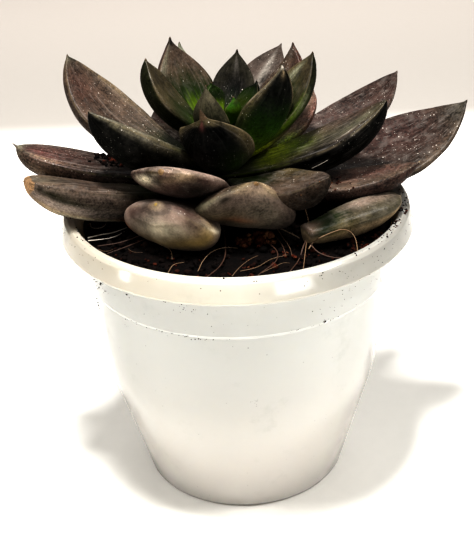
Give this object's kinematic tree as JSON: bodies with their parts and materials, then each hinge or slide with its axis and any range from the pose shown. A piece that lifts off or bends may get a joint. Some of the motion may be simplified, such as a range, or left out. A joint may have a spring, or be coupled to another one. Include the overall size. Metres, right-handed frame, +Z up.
{
  "type": "potted echeveria",
  "caption": "Leaning rosette of thick dark purple-green succulent leaves in a white tapered nursery pot with a skirted rim, dark soil and pale surface roots.",
  "frame": {"origin": "centre of the pot's underside", "axes": "+Z up; -Y is the front seen in the picture; +X is the picture's right"},
  "size_m": [0.1117, 0.0911, 0.1116],
  "materials": {
    "pot_plastic": "satin off-white moulded plastic",
    "soil": "rough damp peat with bark crumbs",
    "stem": "rough corky stem with pale thin roots",
    "inner_leaf": "smooth dark green, near black at the tips",
    "middle_leaf": "smooth purple-black with green bases and pale margins",
    "outer_leaf": "dull purple-brown with grey bloom and dust"
  },
  "bodies": {
    "root": {"pot": "pot_plastic", "soil": "soil", "stem": "stem", "inner_leaf_1": "inner_leaf", "inner_leaf_2": "inner_leaf", "inner_leaf_3": "inner_leaf", "inner_leaf_4": "inner_leaf", "inner_leaf_5": "inner_leaf", "inner_leaf_6": "inner_leaf", "inner_leaf_7": "inner_leaf", "middle_leaf_1": "middle_leaf", "middle_leaf_2": "middle_leaf", "middle_leaf_3": "middle_leaf", "middle_leaf_4": "middle_leaf", "middle_leaf_5": "middle_leaf", "middle_leaf_6": "middle_leaf", "middle_leaf_7": "middle_leaf", "middle_leaf_8": "middle_leaf", "middle_leaf_9": "middle_leaf", "middle_leaf_10": "middle_leaf", "middle_leaf_11": "middle_leaf", "outer_leaf_1": "outer_leaf", "outer_leaf_2": "outer_leaf", "outer_leaf_3": "outer_leaf", "outer_leaf_4": "outer_leaf", "outer_leaf_5": "outer_leaf", "outer_leaf_6": "outer_leaf", "outer_leaf_7": "outer_leaf", "outer_leaf_8": "outer_leaf", "outer_leaf_9": "outer_leaf", "outer_leaf_10": "outer_leaf", "outer_leaf_11": "outer_leaf", "outer_leaf_12": "outer_leaf", "outer_leaf_13": "outer_leaf", "rooted_leaf": "outer_leaf"}
  },
  "joints": []
}
